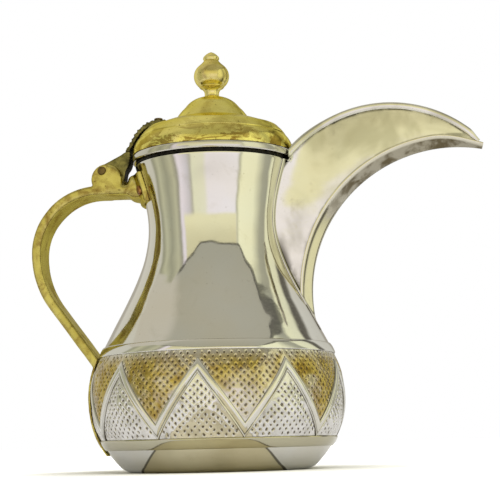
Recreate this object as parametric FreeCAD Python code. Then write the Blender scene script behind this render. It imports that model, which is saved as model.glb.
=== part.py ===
import FreeCAD, Part
import math
import os
from FreeCAD import Vector

# A long-beaked coffee pot: a spun body with a chased zigzag band, a crescent spout made
# of two cheeks and a folded keel, a cast handle and a hinged lid. Millimetres.
# The origin is the centre of the flat bottom, +Z runs up the axis and +X points along the spout.

# Body of revolution: radius, height and lean of the wall at its turning points
wall = 1.2
base_radius = 61.5
base_slope = 1.12
base_round = 9.0
belly_radius = 83.6
belly_height = 50.0
shoulder_radius = 74.0
shoulder_height = 84.0
shoulder_slope = -0.52
waist_radius = 44.6
waist_height = 161.5
rim_radius = 53.2
rim_height = 205.0
rim_slope = 0.27
base_seam = 18.0
shoulder_seam = 78.5
girdle_width = 6.5
girdle_proud = 0.9
solder = 0.1

# Chased zigzag of raised ribs
triangle_count = 9
zigzag_phase = 7.4
rib_width = 5.7
rib_proud = 0.8
valley_rise = 4.0
apex_drop = 9.5

# Spout
keel_radius = 97.0
keel_centre_reach = 109.1
keel_centre_drop = 90.7
keel_foot_angle = 192.0
keel_tip_angle = 80.0
keel_depth = 7.4
keel_sheet = 1.8
keel_stations = 10
spout_top_radius = 88.0
spout_top_reach = 65.8
spout_top_drop = 51.0
spout_rim_half_width = 18.0
spout_foot_half_width = 9.5
spout_tip_half_width = 4.2
cheek_sheet = 1.5
bead_width = 4.4
bead_proud = 1.1
root_strip_width = 3.0
root_strip_sheet = 0.8
pour_slot_rise = 28.0
pour_slot_drop = 11.0
pour_slot_margin = 3.0
lid_room = 1.0

# Handle
handle_width = 28.0
handle_thickness = 6.2
handle_reach = 123.0
handle_top_bend = 45.0
handle_side_bend = 64.0
handle_lean = 36.0
handle_edge_round = 1.6
saddle_plate = 3.2
saddle_width = 46.0
saddle_rise = 7.0
saddle_drop = 13.5
saddle_round = 1.4
saddle_block_reach = 5.2
saddle_block_drop = 9.2
saddle_block_round = 3.6
tail_low = 11.0
tail_thickness = 1.6
tail_width = 24.0

# Hinge
hinge_offset = 21.4
hinge_drop = 2.7
hinge_lift = 10.2
ear_radius = 10.6
ear_shift_x = 3.5
ear_shift_z = 6.1
knuckle_radius = 5.6
knuckle_width = 12.6
knuckle_side_gap = 0.4
pin_radius = 2.1
pin_clearance = 0.05
pin_head_radius = 2.6
pin_head_height = 0.8

# Handle rivets
rivet_radius = 2.0
rivet_head_radius = 3.2
rivet_head_height = 1.6
rivet_edge = 4.8
rivet_drop = 4.6
rivet_clearance = 0.05
rove_radius = 3.6
rove_thickness = 1.0
rove_standoff = 0.2
peen_radius = 2.7
peen_height = 0.9

# Lid, with heights counted up from the rim
lid_gap = 2.0
lid_overhang = 1.6
lid_wall = 1.4
lid_band_height = 4.6
lid_band_thickness = 1.2
lid_side_height = 16.0
lid_side_draw = 4.0
lid_step = 0.7
lid_shoulder_height = 6.5
lid_crest_draw = 5.6
lid_ledge_height = 7.0
lid_boss_radius = 25.5
lid_boss_height = 14.8
lid_boss_top_radius = 9.6
lid_side_swell = 0.2
lid_shoulder_swell = 0.36
lid_ledge_swell = 0.56
lid_boss_swell = 0.6
skirt_depth = 7.0
skirt_clearance = 0.6
skirt_thickness = 1.5
skirt_inset = 0.6
skirt_collar = 6.0

# Finial
finial_foot_radius = 8.0
finial_stem_radius = 5.6
finial_stem_height = 3.6
finial_ball_radius = 12.6
finial_ball_centre = 16.7
finial_ball_half = 8.0
finial_ball_pinch = 4.4
finial_waist_height = 27.3
finial_button_radius = 5.7
finial_crown_rise = 3.2
finial_height = 33.7
stud_radius = 2.5
stud_length = 9.0
stud_clearance = 0.1
washer_radius = 7.0
washer_thickness = 1.0
nut_flats = 8.0
nut_height = 4.0

# Hinge strap on the lid
strap_width = 15.0
strap_thickness = 3.0
strap_stand = 1.6
strap_gap = 0.3
strap_side_share = 0.42
strap_crest_turn = 127.0
strap_hump_reach = 8.2
strap_tip_reach = 14.2
strap_tip_stand = 1.8
strap_elbow_reach = 12.1
strap_elbow_rise = 11.8
strap_heel_reach = 16.0
strap_heel_rise = 4.1
strap_lug_gap = 2.0
strap_lug_drop = 5.8
strap_rivet_radius = 1.8
strap_rivet_head_radius = 3.0
strap_rivet_head_height = 1.2
strap_rivet_spacing = 7.6
strap_rivet_overlap = 8.5
strap_rivet_peen = 2.4

# Values worked out from the sizes above
body_knots = [
    (0.0, base_radius, base_slope),
    (belly_height, belly_radius, 0.0),
    (shoulder_height, shoulder_radius, shoulder_slope),
    (waist_height, waist_radius, 0.0),
    (rim_height, rim_radius, rim_slope),
]
pin_x = -(rim_radius + hinge_offset)
pin_z = rim_height - hinge_drop
handle_top = pin_z - hinge_lift
lid_radius = rim_radius + lid_overhang
lid_bottom = rim_height + lid_gap
lid_groove = lid_bottom + lid_side_height
lid_crest = lid_groove + lid_shoulder_height
lid_ledge = lid_crest + lid_ledge_height
lid_top = lid_ledge + lid_boss_height
lid_groove_radius = lid_radius - lid_side_draw
lid_crest_radius = lid_groove_radius - lid_crest_draw
strap_rivet_reach = lid_crest_radius - strap_rivet_overlap
keel_centre_x = rim_radius + keel_centre_reach
keel_centre_z = rim_height - keel_centre_drop
spout_top_centre_x = rim_radius + spout_top_reach
spout_top_centre_z = rim_height - spout_top_drop
rivet_height = handle_top - rivet_drop
saddle_low = handle_top - saddle_drop
saddle_high = handle_top + saddle_rise
saddle_block_radius = rim_radius + saddle_block_reach
FAR = 400.0
UP = Vector(0, 0, 1)
SIDE = Vector(0, 1, 0)
ORIGIN = Vector(0, 0, 0)


def at(x, z):
    return Vector(x, 0, z)


def lerp(a, b, share):
    return a + (b - a) * share


def line(a, b):
    return Part.LineSegment(a, b).toShape()


def arc(a, middle, b):
    return Part.Arc(a, middle, b).toShape()


def on_circle(x, z, radius, degrees):
    turn = math.radians(degrees)
    return at(x + radius * math.cos(turn), z + radius * math.sin(turn))


def circle_arc(x, z, radius, start, end):
    middle = on_circle(x, z, radius, 0.5 * (start + end))
    return arc(on_circle(x, z, radius, start), middle, on_circle(x, z, radius, end))


def flat_face(edges):
    return Part.Face(Part.Wire(Part.__sortEdges__(edges)))


def spun(edges):
    return flat_face(edges).revolve(ORIGIN, UP, 360)


def spun_polygon(points):
    corners = [at(r, z) for r, z in points]
    edges = [line(a, b) for a, b in zip(corners, corners[1:] + corners[:1])]
    return spun(edges)


def across(face, half_width):
    # A flat face in the XZ plane given width to both sides of it
    moved = face.translated(Vector(0, -half_width, 0))
    return moved.extrude(Vector(0, 2 * half_width, 0))


def mirrored(shape):
    return shape.mirror(ORIGIN, SIDE)


def span_at(z):
    for low, high in zip(body_knots, body_knots[1:]):
        if z <= high[0]:
            return low, high
    return body_knots[-2], body_knots[-1]


def body_poles(low, high, shift):
    # The four control points of one smooth stretch of the wall, moved outward by shift
    z0, r0, slope0 = low
    z1, r1, slope1 = high
    third = (z1 - z0) / 3.0
    return [
        at(r0 + shift, z0),
        at(r0 + slope0 * third + shift, z0 + third),
        at(r1 - slope1 * third + shift, z1 - third),
        at(r1 + shift, z1),
    ]


def body_radius(z):
    low, high = span_at(z)
    share = (z - low[0]) / (high[0] - low[0])
    rest = 1.0 - share
    a, b, c, d = [pole.x for pole in body_poles(low, high, 0.0)]
    return a * rest**3 + 3 * b * share * rest**2 + 3 * c * share**2 * rest + d * share**3


def body_lean(z):
    step = 0.05
    return (body_radius(z + step) - body_radius(z - step)) / (2 * step)


def wall_edges(low_z, high_z, shift):
    edges = []
    for low, high in zip(body_knots, body_knots[1:]):
        start = max(low_z, low[0])
        end = min(high_z, high[0])
        if end - start > 1e-6:
            curve = Part.BezierCurve()
            curve.setPoles(body_poles(low, high, shift))
            length = high[0] - low[0]
            edges.append(curve.toShape((start - low[0]) / length, (end - low[0]) / length))
    return edges


def ring_face(low_z, high_z, inner, outer):
    edges = wall_edges(low_z, high_z, inner) + wall_edges(low_z, high_z, outer)
    for z in (low_z, high_z):
        edges.append(line(at(body_radius(z) + inner, z), at(body_radius(z) + outer, z)))
    return flat_face(edges)


def ring(low_z, high_z, inner, outer):
    return ring_face(low_z, high_z, inner, outer).revolve(ORIGIN, UP, 360)


def core(low_z, high_z, shift):
    edges = wall_edges(low_z, high_z, shift)
    for z in (low_z, high_z):
        edges.append(line(at(0, z), at(body_radius(z) + shift, z)))
    edges.append(line(at(0, low_z), at(0, high_z)))
    return spun(edges)


def base_bowl():
    edges = wall_edges(0, base_seam, 0) + wall_edges(wall, base_seam, -wall)
    edges.append(line(ORIGIN, at(base_radius, 0)))
    edges.append(line(at(0, wall), at(body_radius(wall) - wall, wall)))
    edges.append(line(ORIGIN, at(0, wall)))
    lip = body_radius(base_seam)
    edges.append(line(at(lip - wall, base_seam), at(lip, base_seam)))
    bowl = spun(edges)
    foot = [edge for edge in bowl.Edges if edge.BoundBox.ZMax < 0.5 * wall and edge.Length > base_radius]
    return bowl.makeFillet(base_round, foot)


def zigzag_leg(low_z, high_z):
    # One slanting rib from a valley to the apex on its left, as a flat bar that faces its own middle
    turn = 90.0 / triangle_count
    middle = math.radians(zigzag_phase + turn)
    half_span = body_radius(0.5 * (low_z + high_z)) * math.tan(math.radians(turn))
    out = Vector(math.cos(middle), math.sin(middle), 0)
    along = Vector(-math.sin(middle), math.cos(middle), 0)
    foot = UP * low_z - along * half_span
    head = UP * high_z + along * half_span
    run = (head - foot).normalize()
    half = out.cross(run) * (0.5 * rib_width)
    spare = run * (2 * rib_width)
    corners = [foot - spare - half, head + spare - half, head + spare + half, foot - spare + half]
    inside = [corner + out * (0.5 * belly_radius) for corner in corners]
    face = Part.Face(Part.makePolygon(inside + inside[:1]))
    return face.extrude(out * belly_radius)


def band_sector(low_z, high_z, inner, outer, start, turn):
    # A stretch of the band, counted round from a valley of the zigzag
    face = ring_face(low_z, high_z, inner, outer)
    face.rotate(ORIGIN, UP, zigzag_phase + start)
    return face.revolve(ORIGIN, UP, turn)


def is_sector_side(face):
    spot = face.CenterOfMass
    turn = math.degrees(math.atan2(spot.y, spot.x)) - zigzag_phase
    return abs(abs(turn) - 180.0 / triangle_count) < 1e-3


def belly_band():
    low = base_seam + 0.5 * girdle_width + solder
    high = shoulder_seam - 0.5 * girdle_width - solder
    pitch = 360.0 / triangle_count
    leg = zigzag_leg(low + valley_rise, high - apex_drop)
    rib = band_sector(low, high, -0.5 * wall, rib_proud, 0, 0.5 * pitch).common(leg)
    valley = Vector(-math.sin(math.radians(zigzag_phase)), math.cos(math.radians(zigzag_phase)), 0)
    ribs = rib.fuse(rib.mirror(ORIGIN, valley))
    repeat = band_sector(base_seam, shoulder_seam, -wall, 0, -0.5 * pitch, pitch)
    repeat = repeat.fuse(ribs).removeSplitter()
    skin = [face for face in repeat.Faces if not is_sector_side(face)]
    faces = []
    for index in range(triangle_count):
        for face in skin:
            faces.append(face.rotated(ORIGIN, UP, index * pitch))
    shell = Part.Compound(faces)
    shell.sewShape()
    return Part.Solid(Part.Shell(shell.Faces)).removeSplitter()


def girdle(seam):
    half = 0.5 * girdle_width
    return ring(seam - half, seam + half, solder, girdle_proud)


def cheek_point(x, z, half_width):
    return Vector(x, half_width, z)


def cheek_corners():
    tip = on_circle(keel_centre_x, keel_centre_z, keel_radius + keel_depth, keel_tip_angle)
    foot_z = keel_centre_z
    return (
        cheek_point(body_radius(rim_height), rim_height, spout_rim_half_width),
        cheek_point(keel_centre_x - keel_radius - keel_depth, foot_z, spout_foot_half_width),
        cheek_point(tip.x, tip.z, spout_tip_half_width),
    )


def cheek_normal():
    rim, foot, tip = cheek_corners()
    normal = (tip - rim).cross(foot - rim).normalize()
    return normal if normal.y > 0 else normal * -1.0


def cheek_half_width(point):
    # Half the spout's width where the outer face of the cheeks passes this point
    normal = cheek_normal()
    rim = cheek_corners()[0]
    flat = Vector(point.x - rim.x, 0, point.z - rim.z)
    return rim.y - normal.dot(flat) / normal.y


def cheek_slab(inner, outer):
    # The space between two planes that lie along the cheek's outer face
    normal = cheek_normal()
    rim = cheek_corners()[0]
    u = normal.cross(UP).normalize() * FAR
    v = normal.cross(u).normalize() * FAR
    start = rim + normal * inner
    corners = [start - u - v, start + u - v, start + u + v, start - u + v]
    face = Part.Face(Part.makePolygon(corners + corners[:1]))
    return face.extrude(normal * (outer - inner))


def cross_rod(x, z, radius, width):
    # A cylinder lying across the pot, centred on its middle plane
    return Part.makeCylinder(radius, width, Vector(x, -0.5 * width, z), SIDE)


def keel_disc(extra):
    return cross_rod(keel_centre_x, keel_centre_z, keel_radius + keel_depth + extra, FAR)


def top_disc(shrink):
    return cross_rod(spout_top_centre_x, spout_top_centre_z, spout_top_radius - shrink, FAR)


def girdle_space():
    half = 0.5 * girdle_width + solder
    return ring(shoulder_seam - half, shoulder_seam + half, 0, girdle_proud + solder)


def pot_and_lid_space():
    # What the spout may not enter: the body, its shoulder ring and the closed lid
    lid_space = Part.makeCylinder(lid_radius + lid_room, FAR, at(0, rim_height))
    return core(0, rim_height, solder).fuse([girdle_space(), lid_space])


def spout_block(low_z):
    return Part.makeBox(FAR, FAR, FAR, Vector(0.5 * waist_radius, -0.5 * FAR, low_z))


def spout_cheek():
    sheet = cheek_slab(-cheek_sheet, 0).common(top_disc(bead_width + solder))
    sheet = sheet.cut(keel_disc(solder)).cut(pot_and_lid_space())
    return biggest(sheet.common(spout_block(keel_foot().z)))


def spout_bead():
    bar = cheek_slab(-cheek_sheet, bead_proud).common(top_disc(0))
    bar = bar.cut(top_disc(bead_width)).cut(keel_disc(solder)).cut(pot_and_lid_space())
    return biggest(bar.common(spout_block(rim_height - bead_width)))


def biggest(shape):
    return max(shape.Solids, key=lambda solid: solid.Volume)


def keel_foot():
    return on_circle(keel_centre_x, keel_centre_z, keel_radius, keel_foot_angle)


def keel_section(degrees):
    edge = on_circle(keel_centre_x, keel_centre_z, keel_radius + keel_depth, degrees)
    ridge = on_circle(keel_centre_x, keel_centre_z, keel_radius, degrees)
    fold = on_circle(keel_centre_x, keel_centre_z, keel_radius + keel_sheet, degrees)
    half = cheek_half_width(edge)
    inner = half * (1.0 - keel_sheet / keel_depth)
    corners = [
        edge + SIDE * half,
        ridge,
        edge - SIDE * half,
        edge - SIDE * inner,
        fold,
        edge + SIDE * inner,
    ]
    return Part.makePolygon(corners + corners[:1])


def spout_keel():
    sections = []
    for index in range(keel_stations):
        share = index / (keel_stations - 1.0)
        sections.append(keel_section(lerp(keel_foot_angle, keel_tip_angle, share)))
    strip = Part.makeLoft(sections, True, False)
    return biggest(strip.cut(pot_and_lid_space()))


def root_strip():
    # A narrow strip on the neck along the foot of the cheek
    sheet = ring(keel_foot().z, rim_height, solder, solder + root_strip_sheet)
    front = Part.makeBox(FAR, FAR, FAR)
    sheet = sheet.common(cheek_slab(solder, root_strip_width)).common(front)
    return biggest(sheet.common(top_disc(bead_width + solder)).cut(girdle_space()))


def pour_slot():
    inside = cheek_slab(-FAR, -cheek_sheet - pour_slot_margin)
    low = keel_foot().z + pour_slot_rise
    height = rim_height - pour_slot_drop - low
    front = Part.makeBox(FAR, FAR, height, Vector(0.5 * waist_radius, -0.5 * FAR, low))
    return inside.common(mirrored(inside)).common(front)


def rivet_frame(turn_sign):
    # A point on the neck's outside and the direction square to it
    sweep = math.asin((0.5 * saddle_width - rivet_edge) / body_radius(rivet_height))
    turn = math.pi + turn_sign * sweep
    radial = Vector(math.cos(turn), math.sin(turn), 0)
    square = (radial - UP * body_lean(rivet_height)).normalize()
    return radial * body_radius(rivet_height) + UP * rivet_height, square


def through_wall():
    # How much a radial distance shrinks when it is measured square to the neck
    return 1.0 / math.hypot(1.0, body_lean(rivet_height))


def rivet_rod(turn_sign, radius, start, end):
    point, square = rivet_frame(turn_sign)
    return Part.makeCylinder(radius, end - start, point + square * start, square)


def rivet_holes():
    reach = 4.0 * saddle_plate
    bore = rivet_radius + rivet_clearance
    return rivet_rod(1, bore, -reach, reach).fuse(rivet_rod(-1, bore, -reach, reach))


def rivet_inside():
    return -(wall * through_wall() + rove_standoff)


def handle_rivet(turn_sign):
    seat = (2 * solder + saddle_plate) * through_wall()
    inside = rivet_inside() - rove_thickness
    head = rivet_rod(turn_sign, rivet_head_radius, seat, seat + rivet_head_height)
    rim = [edge for edge in head.Edges if edge.Length > 1.0]
    point, square = rivet_frame(turn_sign)
    crown = seat + 0.9 * rivet_head_height
    top = [edge for edge in rim if (edge.CenterOfMass - point).dot(square) > crown]
    head = head.makeFillet(0.6 * rivet_head_height, top)
    shank_end = seat + 0.5 * rivet_head_height
    shank = rivet_rod(turn_sign, rivet_radius, inside - 0.5 * peen_height, shank_end)
    peen = rivet_rod(turn_sign, peen_radius, inside - peen_height, inside)
    return head.fuse(shank).fuse(peen).removeSplitter()


def rivet_rove(turn_sign):
    outer = rivet_inside()
    disc = rivet_rod(turn_sign, rove_radius, outer - rove_thickness, outer)
    return disc.cut(rivet_holes())


def neck_shell():
    shell = ring(shoulder_seam, rim_height, -wall, 0)
    return shell.cut(pour_slot()).cut(rivet_holes())


def handle_strip_face():
    bend_x = -handle_reach + handle_top_bend
    bend_z = handle_top - handle_top_bend
    side_x = -handle_reach + handle_side_bend
    lean = 180.0 + handle_lean
    way = Vector(math.sin(math.radians(handle_lean)), 0, -math.cos(math.radians(handle_lean)))
    ends = []
    edges = []
    for depth in (0.0, handle_thickness):
        start = at(-body_radius(saddle_low), handle_top - depth)
        top = at(bend_x, handle_top - depth)
        low = on_circle(side_x, bend_z, handle_side_bend - depth, lean)
        end = low + way * abs(low.x)
        edges.append(line(start, top))
        edges.append(circle_arc(bend_x, bend_z, handle_top_bend - depth, 90.0, 180.0))
        edges.append(circle_arc(side_x, bend_z, handle_side_bend - depth, 180.0, lean))
        edges.append(line(low, end))
        ends.append((start, end))
    edges.append(line(ends[0][0], ends[1][0]))
    edges.append(line(ends[0][1], ends[1][1]))
    return flat_face(edges)


def handle_strip():
    strip = across(handle_strip_face(), 0.5 * handle_width)
    long_edges = []
    for edge in strip.Edges:
        box = edge.BoundBox
        if box.YLength < 1e-3 and box.DiagonalLength > 2 * handle_thickness:
            long_edges.append(edge)
    return strip.makeFillet(handle_edge_round, long_edges)


def handle_ears():
    x = pin_x + ear_shift_x
    disc = cross_rod(x, pin_z - ear_shift_z, ear_radius, handle_width)
    above = Part.makeBox(FAR, FAR, FAR, Vector(-FAR, -0.5 * FAR, handle_top - 0.5 * handle_thickness))
    room = knuckle_width + 2 * knuckle_side_gap
    slot = Part.makeBox(FAR, room, FAR, Vector(x - 0.5 * FAR, -0.5 * room, handle_top))
    return disc.common(above).cut(slot)


def side_strip(low_z, high_z, inner, outer, width):
    block = Part.makeBox(FAR, width, FAR, Vector(-FAR, -0.5 * width, 0))
    return ring(low_z, high_z, inner, outer).common(block)


def rounded_outside(block, least, radius):
    # Fillets the edges that stand further than this off the neck
    outer = []
    for edge in block.Edges:
        spot = edge.CenterOfMass
        if math.hypot(spot.x, spot.y) - body_radius(spot.z) > least:
            outer.append(edge)
    return block.makeFillet(radius, outer)


def handle_saddle():
    # A curved plate on the neck with a thick block in its middle, which carries the strip
    plate = side_strip(saddle_low, saddle_high, solder, solder + saddle_plate, saddle_width)
    plate = rounded_outside(plate, 0.6 * saddle_plate, saddle_round)
    low = handle_top - saddle_block_drop
    drum = Part.makeCylinder(saddle_block_radius, saddle_high - low, at(0, low))
    middle = Part.makeBox(FAR, handle_width, FAR, Vector(-FAR, -0.5 * handle_width, 0))
    block = biggest(drum.common(middle).cut(core(0, rim_height, solder)))
    block = rounded_outside(block, saddle_plate, saddle_block_round)
    return plate.fuse(block)


def pin_bore(extra):
    return cross_rod(pin_x, pin_z, pin_radius + extra, 2 * handle_width)


def handle():
    off_belly = girdle_proud + 2 * solder
    knee = handle_knee_height()
    between = 0.5 * (knee + saddle_low)
    belly = core(0, between, off_belly)
    neck = core(between, rim_height, solder)
    strip = handle_strip().cut(belly).cut(neck)
    tail = side_strip(tail_low, knee, off_belly, off_belly + tail_thickness, tail_width)
    whole = biggest(strip).fuse([handle_ears(), handle_saddle(), tail])
    return biggest(whole.cut(pin_bore(pin_clearance)).cut(rivet_holes()).removeSplitter())


def handle_knee_height():
    # Where the straight lower stretch of the handle comes down onto the belly
    side_x = -handle_reach + handle_side_bend
    start = on_circle(side_x, handle_top - handle_top_bend, handle_side_bend, 180.0 + handle_lean)
    fall = 1.0 / math.tan(math.radians(handle_lean))
    z = start.z
    while -start.x - (start.z - z) / fall > body_radius(z) + girdle_proud:
        z -= 0.5
    return z + handle_thickness


def hinge_pin():
    rod = cross_rod(pin_x, pin_z, pin_radius, handle_width)
    heads = cross_rod(pin_x, pin_z, pin_head_radius, handle_width + 2 * pin_head_height)
    between = cross_rod(pin_x, pin_z, 2 * pin_head_radius, handle_width)
    return rod.fuse(heads.cut(between)).removeSplitter()


def lid_outline(shrink):
    # Half the lid's outline, moved inward and down by shrink
    def p(radius, z):
        return at(radius - shrink, z - shrink)

    recess = lid_radius - lid_band_thickness
    band_top = lid_bottom + lid_band_height
    low = at(recess - shrink, lid_bottom)
    step_in = p(recess, band_top)
    step_out = p(lid_radius, band_top)
    side = p(lid_radius - lid_side_swell * lid_side_draw, lerp(band_top, lid_groove, 0.5))
    groove = p(lid_groove_radius, lid_groove)
    fold_radius = lid_groove_radius - lid_step
    shoulder = p(fold_radius, lid_groove)
    swell_radius = lerp(fold_radius, lid_crest_radius, lid_shoulder_swell)
    swell = p(swell_radius, lerp(lid_groove, lid_crest, 0.5))
    crest = p(lid_crest_radius, lid_crest)
    ledge = p(lid_boss_radius, lid_ledge)
    ledge_middle = lerp(lid_crest_radius, lid_boss_radius, 0.5)
    ledge_swell = p(ledge_middle, lerp(lid_crest, lid_ledge, lid_ledge_swell))
    boss_middle = lerp(lid_boss_radius, lid_boss_top_radius, 0.5)
    boss_swell = p(boss_middle, lerp(lid_ledge, lid_top, lid_boss_swell))
    top = p(lid_boss_top_radius, lid_top)
    return [
        line(at(0, lid_bottom), low),
        line(low, step_in),
        line(step_in, step_out),
        arc(step_out, side, groove),
        line(groove, shoulder),
        arc(shoulder, swell, crest),
        arc(crest, ledge_swell, ledge),
        arc(ledge, boss_swell, top),
        line(top, at(0, top.z)),
        line(at(0, top.z), at(0, lid_bottom)),
    ]


def lid_dome():
    shell = spun(lid_outline(0)).cut(spun(lid_outline(lid_wall)))
    hole = Part.makeCylinder(stud_radius + stud_clearance, FAR, at(0, lid_groove))
    return shell.cut(hole).cut(strap_rivet_holes())


def lid_band():
    inner = lid_radius - lid_band_thickness + solder
    hoop = spun_polygon([
        (inner, lid_bottom),
        (lid_radius, lid_bottom),
        (lid_radius, lid_bottom + lid_band_height - solder),
        (inner, lid_bottom + lid_band_height - solder),
    ])
    outer = [edge for edge in hoop.Edges if edge.Length > 2 * math.pi * (lid_radius - 0.5 * solder)]
    return hoop.makeFillet(0.3 * lid_band_thickness, outer)


def lid_skirt():
    low = rim_height - skirt_depth
    spigot = body_radius(low) - wall - skirt_clearance
    flange = rim_radius - skirt_inset
    collar = lid_radius - lid_band_thickness - lid_wall - solder
    inner = min(spigot, collar - skirt_thickness) - skirt_thickness
    return spun_polygon([
        (inner, low),
        (spigot, low),
        (spigot, rim_height),
        (flange, rim_height),
        (flange, lid_bottom),
        (collar, lid_bottom),
        (collar, lid_bottom + skirt_collar),
        (collar - skirt_thickness, lid_bottom + skirt_collar),
        (collar - skirt_thickness, lid_bottom),
        (inner, lid_bottom),
    ])


def finial():
    def p(radius, height):
        return at(radius, lid_top + height)

    foot = p(finial_foot_radius, 0)
    foot_waist = p(lerp(finial_stem_radius, finial_foot_radius, 0.25), 0.45 * finial_stem_height)
    stem = p(finial_stem_radius, finial_stem_height)
    ball_low = finial_ball_centre - finial_ball_half
    under = p(finial_ball_radius - finial_ball_pinch, ball_low)
    under_waist = p(lerp(finial_stem_radius, under.x, 0.3), lerp(finial_stem_height, ball_low, 0.55))
    over = p(under.x, finial_ball_centre + finial_ball_half)
    waist = p(finial_button_radius, finial_waist_height)
    over_waist = p(lerp(waist.x, over.x, 0.35), 0.5 * (over.z + waist.z) - lid_top)
    button_side = p(finial_button_radius, finial_height - finial_crown_rise)
    crown_radius = (finial_button_radius**2 + finial_crown_rise**2) / (2 * finial_crown_rise)
    crown_turn = 0.5 * math.asin(finial_button_radius / crown_radius)
    crown_low = finial_height - crown_radius * (1.0 - math.cos(crown_turn))
    button_crown = p(crown_radius * math.sin(crown_turn), crown_low)
    edges = [
        line(p(0, -stud_length), p(stud_radius, -stud_length)),
        line(p(stud_radius, -stud_length), p(stud_radius, 0)),
        line(p(stud_radius, 0), foot),
        arc(foot, foot_waist, stem),
        arc(stem, under_waist, under),
        arc(under, p(finial_ball_radius, finial_ball_centre), over),
        arc(over, over_waist, waist),
        line(waist, button_side),
        arc(button_side, button_crown, p(0, finial_height)),
        line(p(0, finial_height), p(0, -stud_length)),
    ]
    return spun(edges)


def under_lid_top():
    return lid_top - lid_wall


def finial_washer():
    low = under_lid_top() - washer_thickness
    disc = Part.makeCylinder(washer_radius, washer_thickness, at(0, low))
    return disc.cut(Part.makeCylinder(stud_radius + stud_clearance, FAR, at(0, low - 1.0)))


def finial_nut():
    low = under_lid_top() - washer_thickness - nut_height
    corner = nut_flats / math.sqrt(3.0)
    corners = []
    for index in range(7):
        turn = math.radians(60.0 * index)
        corners.append(Vector(corner * math.cos(turn), corner * math.sin(turn), low))
    block = Part.Face(Part.makePolygon(corners)).extrude(UP * nut_height)
    return block.cut(Part.makeCylinder(stud_radius + stud_clearance, FAR, at(0, low - 1.0)))


def lid_ledge_height_at(radius):
    # The height of the lid's gently sloping ledge at this radius
    face = flat_face(lid_outline(0))
    ray = line(at(radius, lid_bottom - 1.0), at(radius, lid_top + 1.0))
    return max(vertex.Z for vertex in face.common(ray).Vertexes)


def strap_line(stand):
    # The strap's run up the lid's side and over its crest to the tip, this far off the lid
    side_z = lerp(lid_bottom + lid_band_height, lid_groove, strap_side_share)
    hump = lid_crest_radius - strap_hump_reach
    tip = lid_crest_radius - strap_tip_reach
    share = (stand - strap_stand) / strap_thickness
    return [
        at(-lid_radius - stand, side_z),
        at(-lid_groove_radius - stand, lid_groove),
        at(-lid_crest_radius, lid_crest) + on_circle(0, 0, stand, strap_crest_turn),
        at(-hump, lid_ledge_height_at(hump) + stand),
        at(-tip, lid_ledge_height_at(tip) + lerp(strap_gap, strap_tip_stand, share)),
    ]


def strap_face():
    lines = [strap_line(strap_stand), strap_line(strap_stand + strap_thickness)]
    edges = []
    for points in lines:
        curve = Part.BSplineCurve()
        curve.interpolate(points)
        edges.append(curve.toShape())
    for a, b in zip(*lines):
        if a in (lines[0][0], lines[0][-1]):
            edges.append(line(a, b))
    return flat_face(edges)


def strap_arm():
    # The arm from the knuckle to the lid's side, with the pointed stop below it
    inner = strap_line(strap_stand)[0]
    outer = strap_line(strap_stand + strap_thickness)[0]
    tip = at(-saddle_block_radius - strap_lug_gap, pin_z - strap_lug_drop)
    corners = [
        at(pin_x, pin_z + knuckle_radius),
        at(pin_x + strap_elbow_reach, pin_z + strap_elbow_rise),
        outer,
        inner,
        at(pin_x + strap_heel_reach, pin_z + strap_heel_rise),
        tip,
        at(pin_x, pin_z - 0.5 * knuckle_radius),
    ]
    return across(Part.Face(Part.makePolygon(corners + corners[:1])), 0.5 * knuckle_width)


def hinge_strap():
    leaf = across(strap_face(), 0.5 * strap_width)
    knuckle = cross_rod(pin_x, pin_z, knuckle_radius, knuckle_width)
    whole = leaf.fuse([knuckle, strap_arm()])
    whole = whole.cut(spun(lid_outline(-strap_gap)))
    whole = whole.cut(pin_bore(pin_clearance)).cut(strap_rivet_holes())
    return biggest(whole.removeSplitter())


def strap_rivet_spots():
    return [Vector(-strap_rivet_reach, side * 0.5 * strap_rivet_spacing, 0) for side in (-1, 1)]


def strap_rivet_holes():
    rods = []
    for spot in strap_rivet_spots():
        rods.append(Part.makeCylinder(strap_rivet_radius + rivet_clearance, FAR, spot + UP * lid_groove))
    return rods[0].fuse(rods[1:])


def strap_top():
    return strap_face().BoundBox.ZMax


def lid_underside():
    # The lowest point under the lid's wall within reach of a strap rivet's clenched end
    reach = at(-strap_rivet_reach - strap_rivet_peen, 0).x
    turn = math.hypot(reach, 0.5 * strap_rivet_spacing + strap_rivet_peen)
    face = flat_face(lid_outline(lid_wall))
    ray = line(at(turn, lid_bottom - 1.0), at(turn, lid_top))
    return max(vertex.Z for vertex in face.common(ray).Vertexes)


def strap_rivet(spot):
    top = strap_top() + solder
    low = lid_underside() - solder
    thick = strap_rivet_head_height
    head = Part.makeCylinder(strap_rivet_head_radius, thick, spot + UP * top)
    crown = [edge for edge in head.Edges if edge.BoundBox.ZMin > top + 0.9 * thick]
    head = head.makeFillet(0.6 * thick, crown)
    shank = Part.makeCylinder(strap_rivet_radius, top - low, spot + UP * low)
    clench = Part.makeCylinder(strap_rivet_peen, thick, spot + UP * (low - thick))
    return head.fuse(shank).fuse(clench).removeSplitter()


def group(shapes):
    return Part.makeCompound(shapes)


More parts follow.
